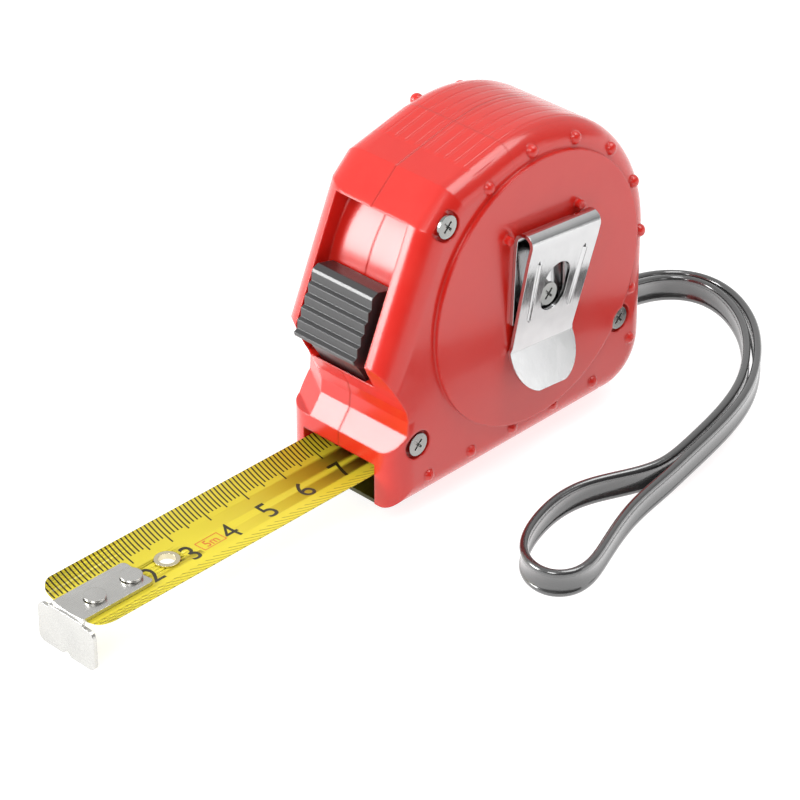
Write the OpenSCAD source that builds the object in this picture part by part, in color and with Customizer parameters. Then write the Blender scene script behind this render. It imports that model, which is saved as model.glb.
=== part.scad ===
// Pocket tape measure: two-shell case, sprung reel, blade with end hook,
// sliding lock, belt clip and wrist strap.
// Origin: on the base plane under the reel axle, halfway across the case.
// The blade leaves towards -X, the belt clip is on the -Y side, +Z is up.

/* [Case] */
// Radius of the round reel housing
case_r = 34.3; // [32:0.1:46]
// Width of the case across its flat sides
case_w = 32; // [29:0.5:44]
// Height of the reel axle above the base
axle_z = 35; // [33:0.5:47]
// Distance from the axle to the nose face
nose_x = 39.2; // [37:0.1:52]
// Rounding of the long edges of the case
edge_r = 5; // [3:0.1:6]
// Rounding of the sloping front at its sides
front_r = 9; // [5:0.5:11]
// Wall of the case
wall = 1.8; // [1.4:0.1:2.6]
// Radius of the raised disc on each side
disc_r = 29; // [22:0.5:31]
// How far the disc stands out
disc_h = 1; // [0.4:0.1:2]
// Distance from the axle to the sloping front
front_d = 37; // [35.5:0.1:48]
// Lean of the sloping front from upright, in degrees
front_lean = 24.1; // [15:0.5:30]
// Radius of the rear bottom corner
heel_r = 11; // [6:0.5:14]
// Height of the top of the nose
nose_h = 16.7; // [14:0.1:20]
// Radius of the grip beads
bead_r = 1.4; // [0.8:0.1:2]
// Radius of the ring of beads round the housing
bead_ring_r = 31; // [30:0.5:36]

/* [Mouth and blade] */
// Width of the blade
blade_w = 19; // [13:0.5:22]
// Thickness of the blade
blade_t = 0.2; // [0.12:0.01:0.4]
// Depth of the blade's hollow
blade_cup = 2.3; // [1:0.1:3]
// Height of the blade's underside above the base
blade_z = 4.3; // [3:0.1:6]
// Length of blade outside the case, to the hook face
blade_out = 71; // [40:1:120]
// Gap from the blade to the mouth at each side
mouth_gap = 0.3; // [0.2:0.1:1]
// Height of the mouth
mouth_h = 9.1; // [8:0.1:12]
// Length of the stiff end of the blade, from the hook face
tip_len = 32.2; // [29:0.1:34]
// Thickness of the mouth plate
plate_t = 0.8; // [0.5:0.1:1.5]
// Length of the mouth plate
plate_len = 14; // [8:0.5:20]

/* [Hook] */
// Thickness of the hook's sheet
hook_t = 0.8; // [0.6:0.1:1.3]
// Width of the hook's face
hook_w = 15.6; // [12:0.1:20]
// Depth of the hook's face
hook_h = 9.4; // [6:0.1:10]
// Width of the hook's tang
tang_w = 8.6; // [6:0.1:11]
// Length of the hook's tang
tang_len = 18.5; // [14:0.5:21]
// Travel of the hook on its rivets
hook_play = 0.8; // [0.6:0.1:1.3]
// Radius of the rivet shanks
rivet_r = 1.5; // [1:0.1:2]
// Radius of the rivet heads
rivet_head_r = 2.2; // [2:0.1:3]
// Radius of the eyelet hole
eyelet_r = 1.7; // [1:0.1:2.2]

/* [Reel] */
// Outer radius of the wound blade
coil_r = 28.2; // [24:0.1:30]
// Inner radius of the wound blade
coil_in_r = 22.8; // [18:0.1:24]
// Radius of the arbor
arbor_r = 3; // [2:0.1:4]
// Wall of the drum
drum_wall = 1.2; // [1:0.1:2]
// Thickness of the mainspring strip
spring_t = 0.35; // [0.2:0.05:0.6]
// Turns of the mainspring
spring_turns = 9; // [4:1:14]

/* [Lock] */
// Width of the lock button
button_w = 16.2; // [12:0.1:20]
// Length of the lock button up the slope
button_len = 16.5; // [12:0.5:20]
// How far the button stands out of the slope
button_out = 1.6; // [1:0.1:3]
// Travel of the lock
lock_travel = 8; // [4:0.5:9]
// Number of finger ribs on the button
button_ribs = 5; // [3:1:7]
// Gap round the button
button_gap = 1.6; // [0.4:0.1:2]

/* [Belt clip] */
// Width of the clip at its fold
clip_w = 19.8; // [14:0.1:26]
// Width of the clip at its kink
clip_kink_w = 17.4; // [12:0.1:22]
// Thickness of the clip's sheet
clip_t = 0.8; // [0.5:0.1:1.2]
// Height of the fold above the axle
clip_up = 13.2; // [8:0.1:18]
// Radius of the fold
clip_fold_r = 2.4; // [1.6:0.1:4]
// Depth of the kink below the axle
clip_down = 11.2; // [6:0.1:14]
// Length of the lip below the kink
clip_lip = 8.4; // [5:0.1:12]
// Turn of the clip on its screw, in degrees
clip_turn = 5.5; // [0:0.5:8]
// Width of the window in the clip
window_w = 7.2; // [5.5:0.1:12]
// Height of that window
window_tall = 11; // [9:0.5:13]

/* [Screws] */
// Radius of the screw heads
head_r = 2.4; // [1.8:0.1:3]
// Radius of the screw shanks
shank_r = 1.3; // [1:0.1:1.6]
// Depth of the recess for each head
head_sink = 1.4; // [0.8:0.1:2]

/* [Wrist strap] */
// Width of the strap
strap_w = 6; // [4:0.5:8]
// Thickness of the strap
strap_t = 1.2; // [0.8:0.1:2]

/* [Hidden] */
$fn = 96;

half_w = case_w / 2;
fit = 0.05;            // running clearance of the reel on its arbor
gap = 0.3;             // clearance between moving pieces
big = 200;

// --- places worked out from the sizes ---
hook_face_x = -nose_x - blade_out;          // outside of the hook's face
blade_tip_x = hook_face_x + hook_t + hook_play + 0.2;
tip_in_x = hook_face_x + tip_len;       // inner end of the stiff stretch
cav_r = coil_r + 2.8;                       // reel chamber
throat_w = blade_w + 2 * mouth_gap;
reel_w = blade_w + 0.6;                     // between the drum's end plates
waist_skew = 0.6;                           // slant of the waist at that corner
plain_r = edge_r + 2.5;                     // rounding of the rim on the plain side
corner_d = case_r + 3.4;                    // corner between the slope and the top
slot_back_r = case_r - 1.2;                 // wall behind the lock button
lead_x = -nose_x + 10;                      // where the blade starts to rise
cup_r = (pow(blade_w / 2, 2) + pow(blade_cup, 2)) / (2 * blade_cup);
eyelet_x = hook_face_x + 25.4;
rivet_xs = [hook_face_x + 7.4, hook_face_x + 16.4];
screw_top = [-25.4, 58.8 - 35 + axle_z];
screw_nose = [-nose_x + 6, 13.8];
screw_rear = [case_r - 8.9, axle_z - 17.8];
boss_r = shank_r + 1.4;
lean = 180 - front_lean;                    // direction the front faces
top_lean = 103;                             // direction of the facet above it
waist_x = -nose_x + 3.4;
nub_x = clip_w / 2 + 0.3;
nub_z = axle_z + clip_up + 2.2;
clip_shift = 0.7;                           // slack of the clip on its screw
strap_exit_z = 9;
pin_r = 1.1;                                // pin that the strap's ends hold on to
pin_gap = 0.2;                              // clearance of the pin to the case wall
side_in = half_w - wall;                    // inside face of each side wall
plate_y = reel_w / 2 + 0.9;                 // outside of the drum's end plates

// Strap route, halfway between its two strands, by hand
strap_route = [[32.6, 0, 9], [36, 0, 8.9], [40, 0.2, 8.5], [45, 0.6, 7.6],
  [50, 1.2, 6.2], [55, 1.6, 4.8], [59, 1.2, 3.8], [62.3, -0.6, 3.3],
  [64.6, -4, 3.2], [65.2, -8.5, 3.2], [64.2, -13.5, 3.2], [61.6, -19, 3.2],
  [57.8, -24.4, 3.2], [52.6, -29.6, 3.2], [46.4, -34.4, 3.2],
  [39.4, -38.6, 3.2], [31.6, -41.6, 3.2], [24, -43.6, 3.2], [16, -45.2, 3.2],
  [8.6, -46.6, 3.2]];
strap_half = 1.15;     // half the spacing of the two strands
// the end loop, from the inner strand round to the outer one
strap_loop = [[3.2, -45.4, 3.2], [-2, -43.6, 3.2], [-7, -41.2, 3.2],
  [-12.4, -39.2, 3.2], [-19, -39, 3.2], [-26, -40.6, 3.2], [-32, -43, 3.2],
  [-36.6, -46.4, 3.2], [-39, -51, 3.2], [-38.6, -55.6, 3.2],
  [-35.2, -58.4, 3.2], [-30.2, -58.4, 3.2], [-24, -56, 3.2],
  [-17, -53.2, 3.2], [-10, -51, 3.2], [-3.4, -49.8, 3.2], [3, -48.9, 3.2]];

// --- helpers ---
// a wall facing the direction a (degrees from +X towards +Z), rounded at the sides
// r is the rounding on the clip side, far_r the one on the plain side
module rounded_wall(a, d, r = edge_r, far_r = edge_r, deep = 60, tall = 160) {
  translate([0, 0, axle_z]) rotate([0, -a, 0])
    linear_extrude(tall, center = true) union() {
      translate([d - deep, -half_w]) square([deep - r, half_w]);
      translate([d - deep, 0]) square([deep - far_r, half_w]);
      translate([d - deep, r - half_w]) square([deep, case_w - r - far_r]);
      translate([d - r, r - half_w]) circle(r);
      translate([d - far_r, half_w - far_r]) circle(far_r);
    }
}
// a round block lying across the case with rounded rims
module rounded_wheel(x, z, r, far_r = edge_r) {
  translate([x, 0, z]) rotate([90, 0, 0]) rotate_extrude() intersection() {
    union() {
      translate([0, far_r - half_w]) square([r, case_w - far_r - edge_r]);
      translate([0, -half_w]) square([r - far_r, half_w]);
      square([r - edge_r, half_w]);
      translate([r - far_r, far_r - half_w]) circle(far_r);
      translate([r - edge_r, half_w - edge_r]) circle(edge_r);
    }
    translate([0, -half_w]) square([r, case_w]);
  }
}
// a straight rod across the case between two places in Y
module rod(x, z, r, y0, y1) {
  translate([x, y1, z]) rotate([90, 0, 0]) cylinder(h = y1 - y0, r = r);
}
module block(x0, x1, y0, y1, z0, z1) {
  translate([x0, y0, z0]) cube([x1 - x0, y1 - y0, z1 - z0]);
}
// an outline in X and Z given a width across the case
module across(points, w, y = 0) {
  translate([0, y + w / 2, 0]) rotate([90, 0, 0]) linear_extrude(w) polygon(points);
}
// a point of the slope frame: u out of the slope, v up it
function slope(u, v) = [-u * cos(front_lean) + v * sin(front_lean),
  axle_z + u * sin(front_lean) + v * cos(front_lean)];

// a point of a spiral strip from radius r0 to r1, and of the blade's rise to the coil
function coiled(k, n, r0, r1, t) = let (r = r0 + (r1 - r0) * k / n + t, a = k * 15) [r * cos(a), r * sin(a)];
function lead(s, rise, t) = [lead_x - 0.01 - lead_x * s, blade_z + t + rise * (1 - cos(180 * s)) / 2];

// --- case ---
module case_body() {
  difference() {
    union() {
      rounded_wheel(0, axle_z, case_r, plain_r);
      rounded_wheel(case_r - heel_r, heel_r, heel_r);
      for (part = [[-1, nose_h - 0.5, edge_r + 2], [nose_h - 0.5, axle_z, front_r]])
        intersection() {
          rounded_wall(-90, axle_z);
          rounded_wall(180, nose_x, edge_r, part[2]);
          block(-big, case_r - heel_r, -big, big, part[0], part[1]);
        }
      intersection() {
        rounded_wall(0, case_r);
        block(0, big, -big, big, heel_r, axle_z);
      }
      intersection() {
        rounded_wall(lean, front_d, edge_r, front_r);
        rounded_wall(132, corner_d, edge_r, plain_r);
        rounded_wall(top_lean, case_r + 0.15, edge_r, plain_r);
        block(-big, case_r * cos(top_lean) + 0.5, -big, big, nose_h + 3, big);
      }
      for (s = [-1, 1]) rod(0, axle_z, disc_r, s > 0 ? half_w - 1 : -half_w - disc_h,
        s > 0 ? half_w + disc_h : 1 - half_w);
    }
    // waist under the lock button, deeper at the plain side's corner
    for (k = [0, waist_skew]) multmatrix([[1, k, 0, -k * half_w / 2], [0, 1, 0, 0], [0, 0, 1, 0]]) across([[-big, 33.6], [waist_x - 6.4, 33.6], [waist_x - 5.2, 30.8], [waist_x - 3.7, 27.8], [waist_x - 2, 25],
      [waist_x - 0.6, 22.4], [waist_x, 19.8], [waist_x - 0.2, nose_h],
      [-nose_x, nose_h - 4.1], [-big, nose_h - 4.1]], big);
  }
}
module beads() {
  for (s = [-1, 1]) {
    for (k = [s < 0 ? 0 : 1:6]) bead(s, bead_ring_r * cos(117 - 23.3 * k), axle_z + bead_ring_r * sin(117 - 23.3 * k), s < 0 ? 0.5 : 1.2);
    bead(s, case_r - 5.4, 11);
    for (k = [0:4]) bead(s, 17.7 - 12 * k, 5.4);
  }
}
module bead(s, x, z, sunk = 0.5) translate([x, s * (half_w - sunk), z]) sphere(bead_r, $fn = 24);

module chambers() {
  // reel chamber, blade channel, strap pocket and lock-arm space
  rod(0, axle_z, cav_r, -side_in, side_in);
  block(-nose_x - 1, -nose_x + plate_len + 0.4, -throat_w / 2, throat_w / 2, -1, mouth_h);
  block(-nose_x + 2, 0, -throat_w / 2, throat_w / 2, wall, mouth_h);
  across([[waist_x + 1.6, wall + 2], [waist_x + 1.6, 19.8], [waist_x - 3, 27],
    slope(slot_back_r + 1.2, -21.5), slope(slot_back_r - 1.9, -4), [-cav_r + 8, 36],
    [-cav_r + 5, 20], [-cav_r + 6, wall + 2]], 13.4);
  block(case_r - 7, case_r - wall, -3.4, 3.4, strap_exit_z - 4.4, strap_exit_z + 4.4);
  block(case_r - 3, case_r + 3, -2.4, 2.4, strap_exit_z - 3.6, strap_exit_z + 3.6);
}
module button_bay() {
  difference() {
    across([slope(front_d + 8, 9.4), slope(slot_back_r - 12, 9.4),
      slope(slot_back_r - 12, -26), slope(front_d + 8, -26)], button_w + 2 * button_gap);
    rod(0, axle_z, slot_back_r, -big, big);
    block(-waist_x * -1 - 3, 0, -big, big, -1, 26.5);
  }
}
module case_shape() {
  difference() {
    union() {
      difference() {
        case_body();
        chambers();
        button_bay();
      }
      beads();
      // hub bosses and screw bosses inside
      for (s = [-1, 1]) {
        rod(0, axle_z, arbor_r + 2.4, s > 0 ? plate_y + gap : -side_in - 0.5, s > 0 ? side_in + 0.5 : -plate_y - gap);
        difference() {
          rod(0, axle_z, coil_in_r - 4, s > 0 ? plate_y + gap : -side_in - 0.5, s > 0 ? side_in + 0.5 : -plate_y - gap);
          rod(0, axle_z, coil_in_r - 5.6, -big, big);
        }
      }
      difference() {
        rod(screw_rear[0], screw_rear[1], boss_r, -side_in - 0.5, side_in + 0.5);
        rod(0, axle_z, coil_r + 0.6, -big, big);
      }
    }
    // screw holes and head recesses
    for (p = [screw_top, screw_nose, screw_rear]) {
      rod(p[0], p[1], head_r + 0.7, -big, -half_w + head_sink);
      rod(p[0], p[1], shank_r + 0.1, -big, 9);
    }
    // arbor sockets and clip screw hole
    rod(0, axle_z, arbor_r + 0.02, -side_in + 0.4, side_in - 0.4);
    rod(0, axle_z, shank_r + 0.1, -big, 0);
  }
}
module case_clip_side() color("firebrick") {
  difference() {
    case_shape();
    block(-big, big, 0, big, -big, big);
  }
  // two nubs that stop the clip turning
  for (s = [-1, 1])
    rod(s * nub_x, nub_z, 0.9, -half_w - disc_h - 1.4, -half_w - disc_h + 0.5);
}
module case_plain_side() color("indianred") difference() {
  case_shape();
  block(-big, big, -big, 0, -big, big);
}
module mouth_plate() color("dimgray") {
  block(-nose_x + 0.3, -nose_x + plate_len, -throat_w / 2 + 0.05, throat_w / 2 - 0.05, 0, plate_t);
}

// --- lock ---
module lock_button() color("black") {
  foot_z = blade_z + blade_t + 1.35;
  u0 = slot_back_r + gap;
  top = -4.1;
  foot = top - button_len;
  face = front_d + button_out;
  pitch = (button_len - 4.2) / button_ribs;
  across(concat([slope(u0, top), slope(face - 1.1, top - 0.7), slope(face - 0.1, top - 1.8)],
    [for (k = [0:button_ribs - 1], e = [0, 1]) slope(face - (e ? 0.7 : 0), top - 2.2 - pitch * (k + (e ? 0.82 : 0.1)))],
    [slope(face, foot + 1.6), slope(face - 0.6, foot + 0.9), slope(u0, foot)]), button_w);
  // brake arm: round the nose screw, then two feet beside the hook's tang
  difference() {
    across([slope(u0, foot + 4), slope(u0 + 1.6, foot + 0.1), [waist_x + 1.9, 20.4], [waist_x + 1.9, 18.2],
      [screw_nose[0] + 1.7, 15.8], [screw_nose[0] + 1.7, foot_z], [screw_nose[0] + 3.5, foot_z],
      [screw_nose[0] + 3.5, 15.5], [waist_x + 4.9, 19.2], [waist_x + 4.2, 21.4], slope(u0 - 0.1, foot + 5)], 12.4);
    block(waist_x, 0, -tang_w / 2 - 0.35, tang_w / 2 + 0.35, 0, blade_z + blade_t + hook_t + 1.6);
  }
}

// --- reel ---
module blade_coil() color("gold") difference() {
  rod(0, axle_z, coil_r, -blade_w / 2, blade_w / 2);
  rod(0, axle_z, coil_in_r, -big, big);
}
module reel_drum() color("ivory") difference() {
  union() {
    rod(0, axle_z, coil_in_r - 0.02, -reel_w / 2, plate_y);
    rod(0, axle_z, coil_r + 0.4, reel_w / 2, plate_y);
  }
  rod(0, axle_z, coil_in_r - drum_wall, -reel_w / 2 - 1, reel_w / 2 - 0.6);
  rod(0, axle_z, arbor_r + fit, -big, big);
}
module drum_cover() color("linen") difference() {
  rod(0, axle_z, coil_r + 0.4, -plate_y, -reel_w / 2 - 0.02);
  rod(0, axle_z, arbor_r + fit, -big, big);
}
module mainspring() color("slategray") {
  r0 = arbor_r + 1.2;
  r1 = coil_in_r - drum_wall - 0.3;
  n = spring_turns * 24;
  translate([0, reel_w / 2 - 1.2, axle_z]) rotate([90, 0, 0]) linear_extrude(reel_w - 2)
    polygon(concat([for (k = [0:n]) coiled(k, n, r0, r1 - spring_t, spring_t)], [for (k = [n:-1:0]) coiled(k, n, r0, r1 - spring_t, 0)]));
}
module arbor() color("silver") difference() {
  rod(0, axle_z, arbor_r, -side_in + 0.5, side_in - 0.5);
  rod(0, axle_z, shank_r, -big, -side_in + 9);
  block(-0.5, 0.5, -reel_w / 2 + 1, reel_w / 2 - 1, axle_z, axle_z + big);
}

// --- blade ---
// the blade's hollow cross-section between two places in X
module cupped(x0, x1, t = blade_t, w = blade_w, z = blade_z) {
  intersection() {
    translate([x0, 0, z + cup_r]) rotate([0, 90, 0]) difference() {
      cylinder(h = x1 - x0, r = cup_r, $fn = 180);
      translate([0, 0, -1]) cylinder(h = x1 - x0 + 2, r = cup_r - t, $fn = 180);
    }
    block(x0 - 1, x1 + 1, -w / 2, w / 2, z - 1, z + cup_r);
  }
}
module blade_run() color("gold") {
  rise = axle_z - coil_r - blade_t - 0.1 - blade_z;
  cupped(tip_in_x, lead_x);
  // flat lead up to the coil
  n = 16;
  across(concat([for (k = [0:n]) lead(k / n, rise, 0)], [for (k = [n:-1:0]) lead(k / n, rise, blade_t)]), blade_w);
}
module blade_end() color("goldenrod") difference() {
  intersection() {
    cupped(blade_tip_x, tip_in_x);
    union() {
      block(blade_tip_x + 3, big, -big, big, -1, big);
      block(blade_tip_x, big, 3 - blade_w / 2, blade_w / 2 - 3, -1, big);
      for (s = [-1, 1]) translate([blade_tip_x + 3, s * (blade_w / 2 - 3), -1]) cylinder(h = 30, r = 3);
    }
  }
  for (x = rivet_xs) translate([x, 0, 0]) cylinder(h = 30, r = rivet_r + 0.02);
  translate([eyelet_x, 0, 0]) cylinder(h = 30, r = eyelet_r + 0.35);
}
module end_hook() color("lightsteelblue") {
  seat = blade_z + blade_t + 0.1;
  difference() {
    union() {
      // tang, curved to sit in the blade
      intersection() {
        translate([hook_face_x + hook_t, 0, seat + cup_r]) rotate([0, 90, 0]) difference() {
          cylinder(h = tang_len - hook_t, r = cup_r, $fn = 180);
          translate([0, 0, -1]) cylinder(h = tang_len + 2, r = cup_r - hook_t, $fn = 180);
        }
        union() {
          block(-big, hook_face_x + tang_len - 1.2, -tang_w / 2, tang_w / 2, 0, 20);
          block(-big, hook_face_x + tang_len, 1.2 - tang_w / 2, tang_w / 2 - 1.2, 0, 20);
          for (s = [-1, 1]) translate([hook_face_x + tang_len - 1.2, s * (tang_w / 2 - 1.2), 0]) cylinder(h = 20, r = 1.2);
        }
      }
      // face
      difference() {
        union() {
          block(hook_face_x, hook_face_x + hook_t, -tang_w / 2 - 0.4, tang_w / 2 + 0.4, seat, seat + hook_t - 0.1);
          for (s = [-1, 1], z = [seat + hook_t - hook_h + 1.6, seat - 1.5])
            translate([hook_face_x, s * (hook_w / 2 - 1.6), z]) rotate([0, 90, 0]) cylinder(h = hook_t, r = 1.6);
          block(hook_face_x, hook_face_x + hook_t, 1.6 - hook_w / 2, hook_w / 2 - 1.6, seat + hook_t - hook_h, seat + 0.1);
          block(hook_face_x, hook_face_x + hook_t, -hook_w / 2, hook_w / 2, seat + hook_t - hook_h + 1.6, seat - 1.5);
        }
        translate([hook_face_x - 1, 0, seat + hook_t - hook_h]) rotate([45, 0, 0]) cube([4, 1.6, 1.6], center = true);
      }
    }
    for (x = rivet_xs) {
      for (d = [0, -hook_play]) translate([x + d, 0, 0]) cylinder(h = 30, r = rivet_r + 0.05);
      block(x - hook_play, x, -rivet_r - 0.05, rivet_r + 0.05, 0, 30);
    }
  }
}
module hook_rivets() color("gainsboro") for (x = rivet_xs) {
  translate([x, 0, blade_z - 0.45]) cylinder(h = 0.4, r = rivet_head_r - 0.4);
  translate([x, 0, blade_z - 0.3]) cylinder(h = hook_t + blade_t + 0.8, r = rivet_r);
  translate([x, 0, blade_z + blade_t + hook_t + 0.26]) cylinder(h = 0.5, r = rivet_head_r);
}
module blade_eyelet() color("whitesmoke") translate([eyelet_x, 0, 0]) difference() {
  union() {
    translate([0, 0, blade_z - 0.4]) cylinder(h = 1.1, r = eyelet_r + 0.3);
    translate([0, 0, blade_z + blade_t + 0.2]) cylinder(h = 0.35, r = eyelet_r + 0.85);
    translate([0, 0, blade_z - 0.45]) cylinder(h = 0.4, r = eyelet_r + 0.75);
  }
  cylinder(h = 30, r = eyelet_r);
}

// --- belt clip ---
module belt_clip() color("lightgray") {
  y_in = -half_w - disc_h - 0.02;       // the back leaf lies on the disc
  y_mid = y_in - clip_fold_r;
  z_top = axle_z + clip_up;
  y_out = y_in - 2 * clip_fold_r;
  z_kink = axle_z - clip_down;
  y_kink = y_in - clip_t - 0.15;     // the sprung kink all but touches the case
  y_lip = y_kink - 3.9;
  lip_half = clip_kink_w / 2 + 0.5;
  lip_r = min(lip_half, clip_lip) - 1.2;
  translate([0, 0, axle_z]) rotate([0, clip_turn, 0]) translate([clip_shift, 0, -axle_z]) intersection() {
    difference() {
      union() {
      // back leaf, fold, front leaf and lip in one strip
      rotate([90, 0, 90]) translate([0, 0, -clip_w / 2]) linear_extrude(clip_w) polygon(concat(
        [[y_in, axle_z - 5]],
        [for (a = [0:9:180]) [y_mid + clip_fold_r * cos(a), z_top + clip_fold_r * sin(a)]],
        [[y_kink, z_kink], [y_lip, z_kink - clip_lip + 0.25],
         [y_lip + clip_t * 0.95, z_kink - clip_lip], [y_kink + clip_t, z_kink]],
        [for (a = [180:-9:0]) [y_mid + (clip_fold_r - clip_t) * cos(a), z_top + (clip_fold_r - clip_t) * sin(a)]],
        [[y_in - clip_t, axle_z - 5]]));
      // two pressed ribs down the front leaf
      for (s = [-1, 1]) {
        slant = (y_out - y_kink) / (z_top - z_kink);
        low = [s * 5.8, y_kink + slant * (axle_z - 4 - z_kink) + 0.3, axle_z - 4];
        high = [s * 6.6, y_kink + slant * (axle_z + 9 - z_kink) + 0.3, axle_z + 9];
        d = high - low;
        translate(low) rotate([0, acos(d[2] / norm(d)), atan2(d[1], d[0])]) {
          cylinder(h = norm(d), r = 0.7);
          translate([0, 0, norm(d)]) cylinder(h = 1.1, r1 = 0.7, r2 = 0.2);
          translate([0, 0, -1.1]) cylinder(h = 1.1, r1 = 0.2, r2 = 0.7);
        }
      }
      }
      // window for the screwdriver
      for (z = [axle_z, axle_z + window_tall - window_w])
        translate([0, y_in - clip_t - 0.2, z]) rotate([90, 0, 0]) cylinder(h = 20, r = window_w / 2);
      block(-window_w / 2, window_w / 2, -big, y_in - clip_t - 0.2, axle_z, axle_z + window_tall - window_w);
      rod(-clip_shift, axle_z, shank_r + 0.1, -big, 0);
    }
    // plan of the sheet: taper to the kink, then a round lip
    rotate([90, 0, 0]) linear_extrude(big) union() {
      polygon([[-clip_w / 2, z_top + 5], [-clip_w / 2, z_top - 3], [-clip_kink_w / 2, z_kink], [-lip_half, z_kink - clip_lip + lip_r],
        [lip_half, z_kink - clip_lip + lip_r], [clip_kink_w / 2, z_kink], [clip_w / 2, z_top - 3], [clip_w / 2, z_top + 5]]);
      translate([lip_r - lip_half, z_kink - clip_lip - 0.1]) square([2 * (lip_half - lip_r), lip_r + 0.2]);
      for (s = [-1, 1]) translate([s * (lip_half - lip_r), z_kink - clip_lip + lip_r]) circle(lip_r);
    }
  }
}

// --- screws ---
module screw(x, z, y_head, len) {
  difference() {
    union() {
      rod(x, z, head_r, y_head, y_head + 0.6);
      translate([x, y_head + 1.3, z]) rotate([90, 0, 0]) cylinder(h = 0.7, r1 = shank_r, r2 = head_r);
      rod(x, z, shank_r, y_head + 1, y_head + len);
    }
    for (a = [45, 135]) translate([x, y_head, z]) rotate([0, a, 0]) cube([0.5, 1.4, 2.6], center = true);
  }
}
module clip_screw() color("gray") screw(0, axle_z, -half_w - disc_h - clip_t - 1.36, 9);
module case_screw_top() color("gray") screw(screw_top[0], screw_top[1], -half_w + head_sink - 1.32, 22);
module case_screw_nose() color("gray") screw(screw_nose[0], screw_nose[1], -half_w + head_sink - 1.32, 22);
module case_screw_rear() color("gray") screw(screw_rear[0], screw_rear[1], -half_w + head_sink - 1.32, 22);

// --- strap ---
module strap_pin() color("silver")
  translate([case_r - wall - pin_r - pin_gap, 0, strap_exit_z - 4.4]) cylinder(h = 8.8, r = pin_r);

function unit(v) = v / norm(v);
function across_way(p, k) = let (a = p[max(0, k - 1)], b = p[min(len(p) - 1, k + 1)], d = unit([b[0] - a[0], b[1] - a[1]])) [-d[1], d[0]];
function shifted(p, s) = [for (k = [0:len(p) - 1]) let (n = across_way(p, k)) [p[k][0] + s * n[0], p[k][1] + s * n[1], p[k][2]]];
function backwards(p) = [for (k = [len(p) - 1:-1:0]) p[k]];
strap_path = concat(shifted(strap_route, -strap_half), strap_loop, backwards(shifted(strap_route, strap_half)));
module wrist_strap() color("black") {
  n = len(strap_path);
  // eight-sided flat band standing on edge
  band = [[-0.5, -0.4], [-0.5, 0.4], [-0.3, 0.5], [0.3, 0.5], [0.5, 0.4], [0.5, -0.4], [0.3, -0.5], [-0.3, -0.5]];
  rings = [for (k = [0:n - 1]) let (w = across_way(strap_path, k))
    for (b = band) [strap_path[k][0] + w[0] * b[0] * strap_t, strap_path[k][1] + w[1] * b[0] * strap_t, strap_path[k][2] + b[1] * strap_w]];
  sides = [for (k = [0:n - 2], j = [0:7]) let (a = k * 8 + j, b = k * 8 + (j + 1) % 8) [a, a + 8, b + 8, b]];
  polyhedron(points = rings, faces = concat(sides, [[for (j = [0:7]) j]], [[for (j = [7:-1:0]) (n - 1) * 8 + j]]), convexity = 10);
}

case_clip_side();
case_plain_side();
mouth_plate();
lock_button();
reel_drum();
drum_cover();
mainspring();
arbor();
blade_coil();
blade_run();
blade_end();
end_hook();
hook_rivets();
blade_eyelet();
belt_clip();
clip_screw();
case_screw_top();
case_screw_nose();
case_screw_rear();
strap_pin();
wrist_strap();
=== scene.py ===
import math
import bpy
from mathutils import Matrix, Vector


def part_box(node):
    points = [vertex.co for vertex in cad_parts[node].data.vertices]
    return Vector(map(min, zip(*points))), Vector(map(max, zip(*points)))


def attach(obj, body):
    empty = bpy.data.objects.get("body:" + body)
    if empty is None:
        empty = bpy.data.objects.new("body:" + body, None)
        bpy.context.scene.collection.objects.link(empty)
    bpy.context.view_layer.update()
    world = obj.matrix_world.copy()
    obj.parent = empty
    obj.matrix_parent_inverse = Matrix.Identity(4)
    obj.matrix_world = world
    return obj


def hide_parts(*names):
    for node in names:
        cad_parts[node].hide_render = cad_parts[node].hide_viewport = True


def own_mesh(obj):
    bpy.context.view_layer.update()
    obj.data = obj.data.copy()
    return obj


bl_info = {
    "name": "Pocket tape measure",
    "version": (1, 0, 0),
    "blender": (4, 5, 0),
    "location": "3D View > Sidebar > Tape measure",
    "description": "Finishes a pocket tape measure: printed blade, glossy case, bright clip and hook, wrist strap and a small studio",
    "category": "Object",
}

import bpy
from bpy.props import FloatProperty, PointerProperty, StringProperty
from mathutils import Vector

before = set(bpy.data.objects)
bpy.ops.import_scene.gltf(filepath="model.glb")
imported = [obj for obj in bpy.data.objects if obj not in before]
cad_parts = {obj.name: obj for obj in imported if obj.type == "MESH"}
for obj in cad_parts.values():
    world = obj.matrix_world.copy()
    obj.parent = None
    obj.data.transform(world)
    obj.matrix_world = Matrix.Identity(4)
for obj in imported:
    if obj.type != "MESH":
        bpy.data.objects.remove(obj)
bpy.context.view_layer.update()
MM = 0.001
AXLE = Vector((0, 0, 0.035))
BLADE_TOP = 4.5 * MM   # lowest line of the hollow face
BLADE_RISE = 2.3 * MM  # how far its edges stand above that line
INK_LIFT = 0.03 * MM   # print stands this far off the face


# ---------------------------------------------------------------- helpers

def rgb(code):
    """An sRGB hex colour as the linear values that the shaders take."""
    def to_linear(v):
        v /= 255
        return v / 12.92 if v <= 0.04045 else ((v + 0.055) / 1.055) ** 2.4
    code = code.lstrip("#")
    return tuple(to_linear(int(code[i:i + 2], 16)) for i in (0, 2, 4)) + (1,)


def put(tree, kind, inputs=None, **settings):
    """Add one node, set its options, and fill its sockets with values or links."""
    made = tree.nodes.new(kind)
    for key, value in settings.items():
        setattr(made, key, value)
    for key, value in (inputs or {}).items():
        if isinstance(value, bpy.types.NodeSocket):
            tree.links.new(value, made.inputs[key])
        else:
            made.inputs[key].default_value = value
    return made


def new_material(name):
    """An empty node material with no nodes, ready for a surface."""
    made = bpy.data.materials.new(name)
    made.use_nodes = True
    made.node_tree.nodes.clear()
    return made, made.node_tree


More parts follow.
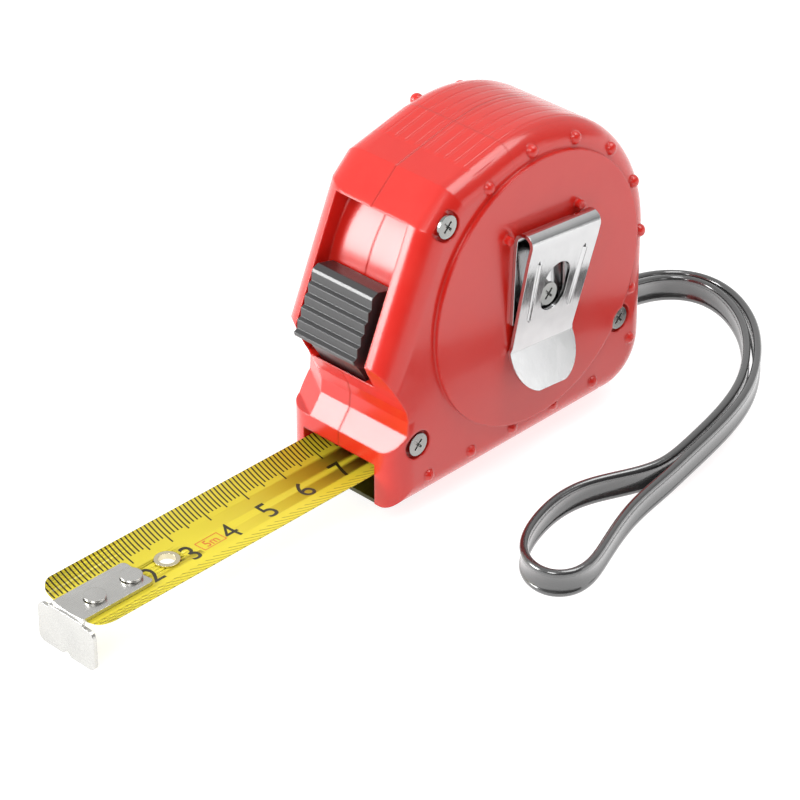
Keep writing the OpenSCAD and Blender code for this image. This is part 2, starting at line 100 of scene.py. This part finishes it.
def finish_material(tree, shader):
    put(tree, "ShaderNodeOutputMaterial", {"Surface": shader.outputs[0]})


def wear(obj, material):
    """Give the whole piece one material."""
    obj.data.materials.clear()
    obj.data.materials.append(material)
    for face in obj.data.polygons:
        face.material_index = 0


def only(obj):
    """Deselect everything, then select this piece and make it active."""
    if bpy.context.object and bpy.context.object.mode != "OBJECT":
        bpy.ops.object.mode_set(mode="OBJECT")
    bpy.ops.object.select_all(action="DESELECT")
    obj.hide_set(False)
    obj.select_set(True)
    bpy.context.view_layer.objects.active = obj


def settle(obj, name):
    """Name a piece and move its place into its mesh."""
    only(obj)
    bpy.ops.object.transform_apply(location=True, rotation=True, scale=True)
    obj.name = obj.data.name = name
    return obj


def welded_copy(node, name):
    """A copy of a CAD node with its loose triangles joined, for a piece that replaces it."""
    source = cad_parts[node]
    obj = bpy.data.objects.new(name, source.data.copy())
    obj.data.name = name
    bpy.context.scene.collection.objects.link(obj)
    only(obj)
    bpy.ops.object.mode_set(mode="EDIT")
    bpy.ops.mesh.select_all(action="SELECT")
    bpy.ops.mesh.remove_doubles(threshold=1e-6)
    bpy.ops.object.mode_set(mode="OBJECT")
    return obj


# ---------------------------------------------------------------- sizes

class TapeLook(bpy.types.PropertyGroup):
    case_colour: StringProperty(name="Case colour", description="Red ABS of the case, as sRGB hex", default="CC2018")
    ridge_pitch: FloatProperty(name="Ridge pitch", description="Spacing of the shallow ridges over the top", default=2.6 * MM, unit="LENGTH")
    blade_colour: StringProperty(name="Blade colour", description="Yellow enamel of the blade, as sRGB hex", default="D0C02A")
    scale_zero: FloatProperty(name="Scale zero", description="Place of the printed zero along the blade", default=-110.0 * MM, unit="LENGTH")
    digit_height: FloatProperty(name="Digit height", description="Height of the printed numbers", default=5.4 * MM, unit="LENGTH")
    strap_width: FloatProperty(name="Strap width", description="Width of the flat strap", default=6 * MM, unit="LENGTH")


class TapeStudio(bpy.types.PropertyGroup):
    azimuth: FloatProperty(name="Azimuth", description="Turn of the camera round the object", default=math.radians(-45.75), unit="ROTATION")
    elevation: FloatProperty(name="Elevation", description="Height of the camera above the level", default=math.radians(32.35), unit="ROTATION")
    distance: FloatProperty(name="Distance", description="From the camera to the point it looks at", default=0.6855, unit="LENGTH")
    lens: FloatProperty(name="Lens", description="Focal length in millimetres", default=151.7)
    fill: FloatProperty(name="Surroundings", description="Strength of the even light from all round", default=0.75, min=0)
    floor_glow: FloatProperty(name="Floor glow", description="Light of the lit white floor", default=0.8, min=0)


# ---------------------------------------------------------------- materials

def red_abs(look):
    """Injection-moulded ABS, polished mould: saturated, glossy, faintly see-through, a little uneven in its gloss."""
    made, tree = new_material("Glossy red ABS")
    place = put(tree, "ShaderNodeTexCoord").outputs["Object"]
    # flow marks left where the plastic met in the mould, some 9 mm apart
    flow = put(tree, "ShaderNodeTexNoise", {"Vector": place, "Scale": 110, "Detail": 3, "Roughness": 0.5, "Distortion": 0.8})
    tint = put(tree, "ShaderNodeMix", {"Factor": flow.outputs["Fac"], "A": rgb(look.case_colour), "B": rgb("D2281C")}, data_type="RGBA")
    # distance from the axle, to keep the ridges on the rounded top
    split = put(tree, "ShaderNodeSeparateXYZ", {"Vector": place})
    centred = put(tree, "ShaderNodeVectorMath", {0: place, 1: AXLE}, operation="SUBTRACT")
    flat = put(tree, "ShaderNodeVectorMath", {0: centred.outputs["Vector"], 1: (1, 0, 1)}, operation="MULTIPLY")
    radius = put(tree, "ShaderNodeVectorMath", {0: flat.outputs["Vector"]}, operation="LENGTH")
    outer = put(tree, "ShaderNodeMath", {0: radius.outputs["Value"], 1: 0.0337}, operation="GREATER_THAN")
    behind = put(tree, "ShaderNodeMapRange", {"Value": split.outputs["X"], "From Min": -0.0170, "From Max": -0.0160})
    above = put(tree, "ShaderNodeMapRange", {"Value": split.outputs["Z"], "From Min": 0.030, "From Max": 0.052})
    side = put(tree, "ShaderNodeMath", {0: split.outputs["Y"]}, operation="ABSOLUTE")
    inside = put(tree, "ShaderNodeMapRange", {"Value": side.outputs[0], "From Min": 0.0150, "From Max": 0.0125})
    phase = put(tree, "ShaderNodeMath", {0: split.outputs["Y"], 1: 2 * math.pi / look.ridge_pitch}, operation="MULTIPLY")
    wave = put(tree, "ShaderNodeMath", {0: phase.outputs[0]}, operation="COSINE")
    wave = put(tree, "ShaderNodeMapRange", {"Value": wave.outputs[0], "From Min": -1.0, "From Max": -0.45}, interpolation_type="SMOOTHSTEP")
    mask = outer.outputs[0]
    for part in (behind, above, inside):
        mask = put(tree, "ShaderNodeMath", {0: mask, 1: part.outputs[0]}, operation="MULTIPLY").outputs[0]
    ridge = put(tree, "ShaderNodeMath", {0: wave.outputs[0], 1: mask}, operation="MULTIPLY")
    # edges rounded by the mould
    soft = put(tree, "ShaderNodeBevel", {"Radius": 0.7 * MM}, samples=6)
    ridges = put(tree, "ShaderNodeBump", {"Height": ridge.outputs[0], "Strength": 1.0, "Distance": 0.11 * MM, "Normal": soft.outputs[0]})
    ripple = put(tree, "ShaderNodeTexNoise", {"Vector": place, "Scale": 260, "Detail": 1})
    skin = put(tree, "ShaderNodeBump", {
        "Height": ripple.outputs["Fac"], "Strength": 0.25, "Distance": 0.05 * MM, "Normal": ridges.outputs[0]})
    gloss = put(tree, "ShaderNodeMapRange", {"Value": flow.outputs["Fac"], "From Min": 0.3, "From Max": 0.7, "To Min": 0.2, "To Max": 0.27})
    shader = put(tree, "ShaderNodeBsdfPrincipled", {
        "Base Color": tint.outputs["Result"], "Roughness": gloss.outputs[0], "IOR": 1.54,
        "Subsurface Weight": 0.25, "Subsurface Radius": (1.0, 0.12, 0.08), "Subsurface Scale": 2.5 * MM,
        "Coat Weight": 0.35, "Coat Roughness": 0.12, "Normal": skin.outputs[0]})
    finish_material(tree, shader)
    return made


def black_abs():
    """Spark-eroded black ABS: dull, with a fine even grain that breaks up its highlights."""
    made, tree = new_material("Textured black ABS")
    place = put(tree, "ShaderNodeTexCoord").outputs["Object"]
    # grain of some 0.25 mm, drawn coarser than the real 0.1 mm so that it shows
    grain = put(tree, "ShaderNodeTexNoise", {"Vector": place, "Scale": 4000, "Detail": 2, "Roughness": 0.6})
    soft = put(tree, "ShaderNodeBevel", {"Radius": 0.25 * MM}, samples=6)
    bump = put(tree, "ShaderNodeBump", {"Height": grain.outputs["Fac"], "Strength": 0.5, "Distance": 0.06 * MM, "Normal": soft.outputs[0]})
    tone = put(tree, "ShaderNodeMix", {"Factor": grain.outputs["Fac"], "A": rgb("1B1B1C"), "B": rgb("303031")}, data_type="RGBA")
    shader = put(tree, "ShaderNodeBsdfPrincipled", {
        "Base Color": tone.outputs["Result"], "Roughness": 0.32, "IOR": 1.54, "Specular IOR Level": 1.0, "Normal": bump.outputs[0]})
    finish_material(tree, shader)
    return made


def plain_plastic(name, colour, roughness=0.42):
    """Inside moulding, never polished: even colour with faint sink marks."""
    made, tree = new_material(name)
    place = put(tree, "ShaderNodeTexCoord").outputs["Object"]
    sink = put(tree, "ShaderNodeTexNoise", {"Vector": place, "Scale": 160, "Detail": 2})
    tone = put(tree, "ShaderNodeMix", {"Factor": sink.outputs["Fac"], "A": rgb(colour[0]), "B": rgb(colour[1])}, data_type="RGBA")
    bump = put(tree, "ShaderNodeBump", {"Height": sink.outputs["Fac"], "Strength": 0.2, "Distance": 0.1 * MM})
    shader = put(tree, "ShaderNodeBsdfPrincipled", {
        "Base Color": tone.outputs["Result"], "Roughness": roughness, "IOR": 1.49, "Normal": bump.outputs[0]})
    finish_material(tree, shader)
    return made


def bright_steel(name, colours, roughness, grain, edge=0.15, along=(1, 1, 1), depth=0.02):
    """Cold-rolled strip, plated after pressing: mirror-like with fine rolling lines and slightly dulled patches."""
    made, tree = new_material(name)
    place = put(tree, "ShaderNodeTexCoord").outputs["Object"]
    drawn = put(tree, "ShaderNodeMapping", {"Vector": place, "Scale": along})
    lines = put(tree, "ShaderNodeTexNoise", {"Vector": drawn.outputs[0], "Scale": grain, "Detail": 4, "Roughness": 0.6})
    cloud = put(tree, "ShaderNodeTexNoise", {"Vector": place, "Scale": 220, "Detail": 2})
    tone = put(tree, "ShaderNodeMix", {"Factor": cloud.outputs["Fac"], "A": rgb(colours[0]), "B": rgb(colours[1])}, data_type="RGBA")
    gloss = put(tree, "ShaderNodeMapRange", {
        "Value": lines.outputs["Fac"], "From Min": 0.3, "From Max": 0.7, "To Min": roughness[0], "To Max": roughness[1]})
    soft = put(tree, "ShaderNodeBevel", {"Radius": edge * MM}, samples=6)
    bump = put(tree, "ShaderNodeBump", {"Height": lines.outputs["Fac"], "Strength": 0.3, "Distance": depth * MM, "Normal": soft.outputs[0]})
    shader = put(tree, "ShaderNodeBsdfPrincipled", {
        "Base Color": tone.outputs["Result"], "Metallic": 1.0, "Roughness": gloss.outputs[0], "Normal": bump.outputs[0]})
    finish_material(tree, shader)
    return made


def printed_enamel(look):
    """Yellow enamel on spring steel under clear lacquer, with the scale printed in dark ink along the far edge."""
    made, tree = new_material("Printed yellow enamel")
    spot = put(tree, "ShaderNodeAttribute", attribute_name="blade_mm", attribute_type="GEOMETRY")
    split = put(tree, "ShaderNodeSeparateXYZ", {"Vector": spot.outputs["Vector"]})
    along, across = split.outputs["X"], split.outputs["Y"]

    def stripes(every, width, reach):
        """Ink lines across the blade, one each so many millimetres, from the far edge in to the reach."""
        turn = put(tree, "ShaderNodeMath", {0: along, 1: every, 2: 0.0}, operation="WRAP")
        # distance to the nearest line
        back = put(tree, "ShaderNodeMath", {0: every, 1: turn.outputs[0]}, operation="SUBTRACT")
        near = put(tree, "ShaderNodeMath", {0: turn.outputs[0], 1: back.outputs[0]}, operation="MINIMUM")
        thin = put(tree, "ShaderNodeMapRange", {
            "Value": near.outputs[0], "From Min": width * 0.5 - 0.04, "From Max": width * 0.5 + 0.04, "To Min": 1.0, "To Max": 0.0})
        edge = put(tree, "ShaderNodeMapRange", {"Value": across, "From Min": reach - 0.06, "From Max": reach + 0.06})
        return put(tree, "ShaderNodeMath", {0: thin.outputs[0], 1: edge.outputs[0]}, operation="MULTIPLY").outputs[0]

    ink = stripes(1, 0.34, 5.3)
    for more in (stripes(5, 0.34, 4.5), stripes(10, 0.34, 3.6)):
        ink = put(tree, "ShaderNodeMath", {0: ink, 1: more}, operation="MAXIMUM").outputs[0]
    # fine slanted rule along the near edge
    slant = put(tree, "ShaderNodeMath", {0: across, 1: 0.9, 2: along}, operation="MULTIPLY_ADD")
    wave = put(tree, "ShaderNodeMath", {0: slant.outputs[0], 1: 1.0}, operation="PINGPONG")
    fine = put(tree, "ShaderNodeMapRange", {"Value": wave.outputs[0], "From Min": 0.1, "From Max": 0.26, "To Min": 0.7, "To Max": 0.0})
    low = put(tree, "ShaderNodeMapRange", {"Value": across, "From Min": -6.1, "From Max": -6.0, "To Min": 1.0, "To Max": 0.0})
    hatch = put(tree, "ShaderNodeMath", {0: fine.outputs[0], 1: low.outputs[0]}, operation="MULTIPLY")
    ink = put(tree, "ShaderNodeMath", {0: ink, 1: hatch.outputs[0]}, operation="MAXIMUM").outputs[0]
    place = put(tree, "ShaderNodeTexCoord").outputs["Object"]
    cloud = put(tree, "ShaderNodeTexNoise", {"Vector": place, "Scale": 90, "Detail": 3})
    paint = put(tree, "ShaderNodeMix", {"Factor": cloud.outputs["Fac"], "A": rgb(look.blade_colour), "B": rgb("D8CA38")}, data_type="RGBA")
    tone = put(tree, "ShaderNodeMix", {"Factor": ink, "A": paint.outputs["Result"], "B": rgb("1C1604")}, data_type="RGBA")
    ripple = put(tree, "ShaderNodeTexNoise", {"Vector": place, "Scale": 500, "Detail": 2})
    bump = put(tree, "ShaderNodeBump", {"Height": ripple.outputs["Fac"], "Strength": 0.15, "Distance": 0.02 * MM})
    shader = put(tree, "ShaderNodeBsdfPrincipled", {
        "Base Color": tone.outputs["Result"], "Roughness": 0.48, "IOR": 1.5, "Specular IOR Level": 0.35, "Normal": bump.outputs[0],
        "Coat Weight": 0.1, "Coat Roughness": 0.25})
    finish_material(tree, shader)
    return made


def ink(name, colour):
    """Printing ink under the lacquer: dull, with a little show-through."""
    made, tree = new_material(name)
    place = put(tree, "ShaderNodeTexCoord").outputs["Object"]
    speck = put(tree, "ShaderNodeTexNoise", {"Vector": place, "Scale": 3000, "Detail": 2})
    tone = put(tree, "ShaderNodeMix", {"Factor": speck.outputs["Fac"], "A": rgb(colour[0]), "B": rgb(colour[1])}, data_type="RGBA")
    shader = put(tree, "ShaderNodeBsdfPrincipled", {"Base Color": tone.outputs["Result"], "Roughness": 0.35, "IOR": 1.5})
    finish_material(tree, shader)
    return made


def black_vinyl():
    """Extruded soft PVC: semi-gloss, with a fine leather-like grain on its faces."""
    made, tree = new_material("Extruded black vinyl")
    place = put(tree, "ShaderNodeTexCoord").outputs["Object"]
    grain = put(tree, "ShaderNodeTexVoronoi", {"Vector": place, "Scale": 2200})
    cloud = put(tree, "ShaderNodeTexNoise", {"Vector": place, "Scale": 120, "Detail": 3})
    tone = put(tree, "ShaderNodeMix", {"Factor": cloud.outputs["Fac"], "A": rgb("1A1A1B"), "B": rgb("2C2C2C")}, data_type="RGBA")
    bump = put(tree, "ShaderNodeBump", {"Height": grain.outputs["Distance"], "Strength": 0.35, "Distance": 0.05 * MM})
    shader = put(tree, "ShaderNodeBsdfPrincipled", {
        "Base Color": tone.outputs["Result"], "Roughness": 0.26, "IOR": 1.53, "Specular IOR Level": 0.9, "Normal": bump.outputs[0],
        "Coat Weight": 0.8, "Coat Roughness": 0.1, "Coat IOR": 1.9})
    finish_material(tree, shader)
    return made


# ---------------------------------------------------------------- pieces

STRAP_ROUTE = [
    (32.6, 0, 9), (36, 0, 8.9), (40, 0.2, 8.5), (45, 0.6, 7.6), (50, 1.2, 6.2), (55, 1.6, 4.8), (59, 1.2, 3.8),
    (62.3, -0.6, 3.3), (64.6, -4, 3.2), (65.2, -8.5, 3.2), (64.2, -13.5, 3.2), (61.6, -19, 3.2),
    (57.8, -24.4, 3.2), (52.6, -29.6, 3.2), (46.4, -34.4, 3.2), (39.4, -38.6, 3.2), (31.6, -41.6, 3.2),
    (24, -43.6, 3.2), (16, -45.2, 3.2), (8.6, -46.6, 3.2)]
STRAP_LOOP = [
    (3.2, -45.4, 3.2), (-2, -43.6, 3.2), (-7, -41.2, 3.2), (-12.4, -39.2, 3.2), (-19, -39, 3.2), (-26, -40.6, 3.2),
    (-32, -43, 3.2), (-36.6, -46.4, 3.2), (-39, -51, 3.2), (-38.6, -55.6, 3.2), (-35.2, -58.4, 3.2),
    (-30.2, -58.4, 3.2), (-24, -56, 3.2), (-17, -53.2, 3.2), (-10, -51, 3.2), (-3.4, -49.8, 3.2), (3, -48.9, 3.2)]


def beside(points, offset):
    """The route moved sideways on the level, for one strand of the pair."""
    moved = []
    for i, p in enumerate(points):
        a, b = points[max(i - 1, 0)], points[min(i + 1, len(points) - 1)]
        run = Vector((b[0] - a[0], b[1] - a[1])).normalized()
        moved.append((p[0] - run.y * offset, p[1] + run.x * offset, p[2]))
    return moved


class TAPE_OT_strap(bpy.types.Operator):
    """Extrude the beaded vinyl band along its loop and lay it beside the case"""
    bl_idname = "tape.strap"
    bl_label = "Wrist strap"

    def execute(self, context):
        look = context.scene.tape_look
        route = beside(STRAP_ROUTE, -1.15) + STRAP_LOOP + beside(STRAP_ROUTE, 1.15)[::-1]
        route = [Vector(p) * MM for p in route]
        # the band's cross-section: a flat web with a round bead along each edge
        half, bead = look.strap_width / 2, 0.85 * MM
        section = bpy.data.curves.new("strap_section", "CURVE")
        line = section.splines.new("POLY")
        shape = []
        top = half - bead
        for k in range(15):
            a = math.radians(-50 + 280 * k / 14)
            shape.append((bead * math.cos(a), top + bead * math.sin(a)))
        for k in range(15):
            a = math.radians(130 + 280 * k / 14)
            shape.append((bead * math.cos(a), -top + bead * math.sin(a)))
        line.points.add(len(shape) - 1)
        for point, (x, y) in zip(line.points, shape):
            point.co = (x, y, 0, 1)
        line.use_cyclic_u = True
        section_obj = bpy.data.objects.new("strap_section", section)
        context.scene.collection.objects.link(section_obj)
        band = bpy.data.curves.new("wrist_strap_band", "CURVE")
        band.dimensions = "3D"
        band.twist_mode = "Z_UP"
        band.resolution_u = 10
        path = band.splines.new("NURBS")
        path.points.add(len(route) - 1)
        for point, p in zip(path.points, route):
            point.co = (*p, 1)
        path.order_u = 4
        path.use_endpoint_u = True
        band.bevel_mode = "OBJECT"
        band.bevel_object = section_obj
        band.use_fill_caps = True
        obj = bpy.data.objects.new("wrist_strap_band", band)
        context.scene.collection.objects.link(obj)
        only(obj)
        bpy.ops.object.convert(target="MESH")
        bpy.data.objects.remove(section_obj)
        settle(obj, "wrist_strap_band")
        bpy.ops.object.mode_set(mode="EDIT")
        bpy.ops.mesh.select_all(action="SELECT")
        bpy.ops.mesh.remove_doubles(threshold=1e-6)
        bpy.ops.mesh.normals_make_consistent(inside=False)
        bpy.ops.object.mode_set(mode="OBJECT")
        bpy.ops.object.shade_smooth_by_angle(angle=math.radians(50))
        wear(obj, black_vinyl())
        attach(obj, "case")
        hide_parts("wrist_strap")
        return {"FINISHED"}


class TAPE_OT_blade(bpy.types.Operator):
    """Enamel and print the blade: its stiff end, the run to the reel and the coil"""
    bl_idname = "tape.blade"
    bl_label = "Printed blade"

    def execute(self, context):
        look = context.scene.tape_look
        enamel = printed_enamel(look)
        for node, body in (("blade_end", "blade"), ("blade_run", "case"), ("blade_coil", "reel")):
            obj = welded_copy(node, node + "_printed")
            only(obj)
            bpy.ops.object.shade_smooth_by_angle(angle=math.radians(40))
            mm = obj.data.attributes.new("blade_mm", "FLOAT_VECTOR", "POINT")
            values = []
            for v in obj.data.vertices:
                if node == "blade_coil":
                    turn = math.atan2(v.co.z - AXLE.z, v.co.x) * (v.co.xz - AXLE.xz).length / MM
                    values += [turn, v.co.y / MM, 0]
                else:
                    values += [(v.co.x - look.scale_zero) / MM, v.co.y / MM, 0]
            mm.data.foreach_set("vector", values)
            wear(obj, enamel)
            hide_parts(node)
            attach(obj, body)
            if node == "blade_run":
                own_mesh(obj)
        return {"FINISHED"}


def printed(text, size, x, y, name, material, body):
    """Printed characters wrapped on to the hollow of the blade."""
    bpy.ops.object.select_all(action="DESELECT")
    bpy.ops.object.text_add(location=(0, 0, 0))
    obj = bpy.context.object
    obj.data.body = text
    obj.data.align_x, obj.data.align_y = "CENTER", "CENTER"
    obj.data.size = 1
    obj.data.offset = 0 if text == "4" else 0.004  # a bolder 4 would close its own counter
    bpy.context.view_layer.update()
    only(obj)
    bpy.ops.object.convert(target="MESH")
    obj = bpy.context.object
    low = Vector([min(v.co[i] for v in obj.data.vertices) for i in range(3)])
    high = Vector([max(v.co[i] for v in obj.data.vertices) for i in range(3)])
    scale = size / (high.y - low.y)
    obj.scale = (scale * 0.86, scale, 1)
    obj.location = (x - scale * 0.86 * (low.x + high.x) / 2, y - scale * (low.y + high.y) / 2, 0.02)
    settle(obj, name)
    return lay_on_blade(obj, material, body)


def lay_on_blade(obj, material, body):
    """Cut a flat print finely, drop it on the blade's hollow face, and let it go with that part of the blade."""
    only(obj)
    bpy.ops.object.mode_set(mode="EDIT")
    bpy.ops.mesh.select_all(action="SELECT")
    y0 = min(v.co.y for v in obj.data.vertices)
    bpy.ops.object.mode_set(mode="OBJECT")
    y1 = max(v.co.y for v in obj.data.vertices)
    steps = max(2, round((y1 - y0) / (0.7 * MM)))
    for k in range(1, steps):
        bpy.ops.object.mode_set(mode="EDIT")
        bpy.ops.mesh.select_all(action="SELECT")
        bpy.ops.mesh.bisect(plane_co=(0, y0 + (y1 - y0) * k / steps, 0), plane_no=(0, 1, 0))
        bpy.ops.object.mode_set(mode="OBJECT")
    # radius of the blade's hollow, from its width and the rise of its edges
    low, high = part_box("blade_end")
    half = (high.y - low.y) / 2
    bend = (half * half + BLADE_RISE * BLADE_RISE) / (2 * BLADE_RISE)
    for v in obj.data.vertices:
        v.co.z = BLADE_TOP + INK_LIFT + bend - math.sqrt(bend * bend - v.co.y * v.co.y)
    wear(obj, material)
    if body == "blade":
        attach(obj, "blade")
    else:
        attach(obj, "case")
        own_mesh(obj)
    return obj


class TAPE_OT_print(bpy.types.Operator):
    """Print the centimetre numbers and the length mark on the blade"""
    bl_idname = "tape.print"
    bl_label = "Printed numbers"

    def execute(self, context):
        look = context.scene.tape_look
        dark = ink("Black printing ink", ("1C1808", "3A3414"))
        red = ink("Red printing ink", ("C8501C", "D8702C"))
        for n in range(2, 8):
            x = look.scale_zero + n * 10 * MM
            printed(str(n), look.digit_height, x, -1.4 * MM, f"number_{n}", dark, "blade" if n < 4 else "case")
        x, y = look.scale_zero + 35.3 * MM, -1.2 * MM
        printed("5m", 2.2 * MM, x, y, "length_mark", red, "case")
        wide, tall, line = 5.7 * MM, 3.2 * MM, 0.2 * MM
        bpy.ops.object.select_all(action="DESELECT")
        bpy.ops.mesh.primitive_plane_add(size=1, location=(x, y, 0.02))
        obj = context.object
        obj.scale = (wide, tall, 1)
        settle(obj, "length_mark_box")
        bpy.ops.object.mode_set(mode="EDIT")
        bpy.ops.mesh.select_all(action="SELECT")
        bpy.ops.mesh.inset(thickness=line)
        bpy.ops.mesh.delete(type="FACE")
        bpy.ops.object.mode_set(mode="OBJECT")
        lay_on_blade(obj, red, "case")
        return {"FINISHED"}


class TAPE_OT_finishes(bpy.types.Operator):
    """Give every part that keeps its moulded or pressed shape its finish"""
    bl_idname = "tape.finishes"
    bl_label = "Finishes"

    def execute(self, context):
        look = context.scene.tape_look
        red = red_abs(look)
        black = black_abs()
        white = plain_plastic("White moulded plastic", ("E4E1D8", "EFECE4"))
        screw = bright_steel("Zinc-plated steel", ("8E8F8E", "B4B4B0"), (0.14, 0.3), 900)
        brass = bright_steel("Pale plated brass", ("D8CDA8", "E6DEC4"), (0.12, 0.24), 900)
        chrome = bright_steel("Bright-plated strip steel", ("C9C9CA", "DCDCDC"), (0.07, 0.15), 700, along=(6, 6, 0.3))
        hook = bright_steel("Brushed plated steel", ("C6C5C2", "DAD9D5"), (0.2, 0.34), 800, along=(0.3, 5, 5))
        dark = bright_steel("Oiled dark strip steel", ("4A4A3C", "5E5D4C"), (0.3, 0.42), 600)
        spring = bright_steel("Blued spring steel", ("4C5563", "6A7180"), (0.2, 0.35), 700, along=(1, 0.2, 1))
        for node, material in (
                ("case_clip_side", red), ("case_plain_side", red),
                ("lock_button", black), ("reel_drum", white),
                ("drum_cover", white), ("mainspring", spring), ("arbor", screw),
                ("mouth_plate", dark), ("end_hook", hook), ("hook_rivets", hook),
                ("blade_eyelet", brass), ("belt_clip", chrome), ("clip_screw", screw),
                ("case_screw_top", screw), ("case_screw_nose", screw), ("case_screw_rear", screw),
                ("strap_pin", screw)):
            wear(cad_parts[node], material)
        return {"FINISHED"}


# ---------------------------------------------------------------- studio

class TAPE_OT_stage(bpy.types.Operator):
    """Set the pale floor, the soft lights and the camera"""
    bl_idname = "tape.stage"
    bl_label = "Studio"

    def execute(self, context):
        studio = context.scene.tape_studio
        low = min(v.co.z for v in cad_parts["end_hook"].data.vertices)
        floor_z = low - 0.1 * MM
        only(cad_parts["end_hook"])
        bpy.ops.object.select_all(action="DESELECT")
        bpy.ops.mesh.primitive_plane_add(size=6, location=(0, 0, floor_z))
        floor = context.object
        settle(floor, "floor")
        made, tree = new_material("Pale studio floor")
        place = put(tree, "ShaderNodeTexCoord").outputs["Object"]
        cloud = put(tree, "ShaderNodeTexNoise", {"Vector": place, "Scale": 4, "Detail": 2})
        tone = put(tree, "ShaderNodeMix", {"Factor": cloud.outputs["Fac"], "A": rgb("A8A8A8"), "B": rgb("ACACAC")}, data_type="RGBA")
        shader = put(tree, "ShaderNodeBsdfPrincipled", {
            "Base Color": tone.outputs["Result"], "Roughness": 0.9, "Specular IOR Level": 0.1,
            "Emission Color": rgb("FFFFFF"), "Emission Strength": studio.floor_glow})
        finish_material(tree, shader)
        wear(floor, made)

        world = bpy.data.worlds.new("Soft studio")
        world.use_nodes = True
        world.node_tree.nodes.clear()
        # the room is lit behind the object and darker on the camera's side
        way = put(world.node_tree, "ShaderNodeTexCoord").outputs["Generated"]
        facing = put(world.node_tree, "ShaderNodeVectorMath", {0: way, 1: (0.35, 0.6, 0.72)}, operation="DOT_PRODUCT")
        level = put(world.node_tree, "ShaderNodeMapRange", {
            "Value": facing.outputs["Value"], "From Min": -0.5, "From Max": 0.9,
            "To Min": 0.16 * studio.fill, "To Max": studio.fill}, interpolation_type="SMOOTHSTEP")
        glow = put(world.node_tree, "ShaderNodeBackground", {"Color": rgb("FFFFFF"), "Strength": level.outputs[0]})
        put(world.node_tree, "ShaderNodeOutputWorld", {"Surface": glow.outputs[0]})
        context.scene.world = world

        def softbox(name, place, aim, size, power):
            light = bpy.data.lights.new(name, "AREA")
            light.shape, light.size, light.size_y, light.energy = "RECTANGLE", size[0], size[1], power
            obj = bpy.data.objects.new(name, light)
            context.scene.collection.objects.link(obj)
            obj.location = place
            obj.rotation_euler = (Vector(aim) - Vector(place)).to_track_quat("-Z", "Y").to_euler()
            return obj

        softbox("key_softbox", (-0.78, 0.62, 0.36), (-0.03, 0, 0.03), (0.5, 0.5), 9.5)
        softbox("top_softbox", (0.25, -0.25, 0.9), (0, 0, 0.03), (0.5, 0.5), 3.5)
        softbox("lip_softbox", (0.5, -0.75, 0.14), (0.005, -0.02, 0.02), (0.34, 0.3), 0.42)
        softbox("front_softbox", (-0.9, -0.3, 0.8), (-0.05, 0, 0.02), (0.5, 0.5), 5)

        camera = bpy.data.cameras.new("camera")
        camera.lens, camera.sensor_width = studio.lens, 36
        camera.clip_start, camera.clip_end = 0.01, 20
        obj = bpy.data.objects.new("camera", camera)
        context.scene.collection.objects.link(obj)
        a, e = studio.azimuth, studio.elevation
        back = Vector((math.sin(a) * math.cos(e), -math.cos(a) * math.cos(e), math.sin(e)))
        obj.location = Vector((-0.0119, 0.0098, 0.0030)) + back * studio.distance
        obj.rotation_euler = (math.pi / 2 - e, 0, a)
        context.scene.camera = obj
        context.scene.view_settings.view_transform = "Standard"
        return {"FINISHED"}


class TAPE_PT_panel(bpy.types.Panel):
    bl_label = "Tape measure"
    bl_idname = "TAPE_PT_panel"
    bl_space_type = "VIEW_3D"
    bl_region_type = "UI"
    bl_category = "Tape measure"

    def draw(self, context):
        column = self.layout.column(align=True)
        for operator in STEPS:
            column.operator(operator.bl_idname)
        for group in (context.scene.tape_look, context.scene.tape_studio):
            for name in group.bl_rna.properties.keys():
                if name not in ("rna_type", "name"):
                    column.prop(group, name)


STEPS = (TAPE_OT_stage, TAPE_OT_strap, TAPE_OT_blade, TAPE_OT_print, TAPE_OT_finishes)
CLASSES = (TapeLook, TapeStudio, *STEPS, TAPE_PT_panel)


def register():
    for cls in CLASSES:
        bpy.utils.register_class(cls)
    bpy.types.Scene.tape_look = PointerProperty(type=TapeLook)
    bpy.types.Scene.tape_studio = PointerProperty(type=TapeStudio)


def unregister():
    del bpy.types.Scene.tape_look
    del bpy.types.Scene.tape_studio
    for cls in reversed(CLASSES):
        bpy.utils.unregister_class(cls)


def main():
    register()
    bpy.ops.tape.stage()
    bpy.ops.tape.strap()
    bpy.ops.tape.blade()
    bpy.ops.tape.print()
    bpy.ops.tape.finishes()


if __name__ == "__main__":
    main()
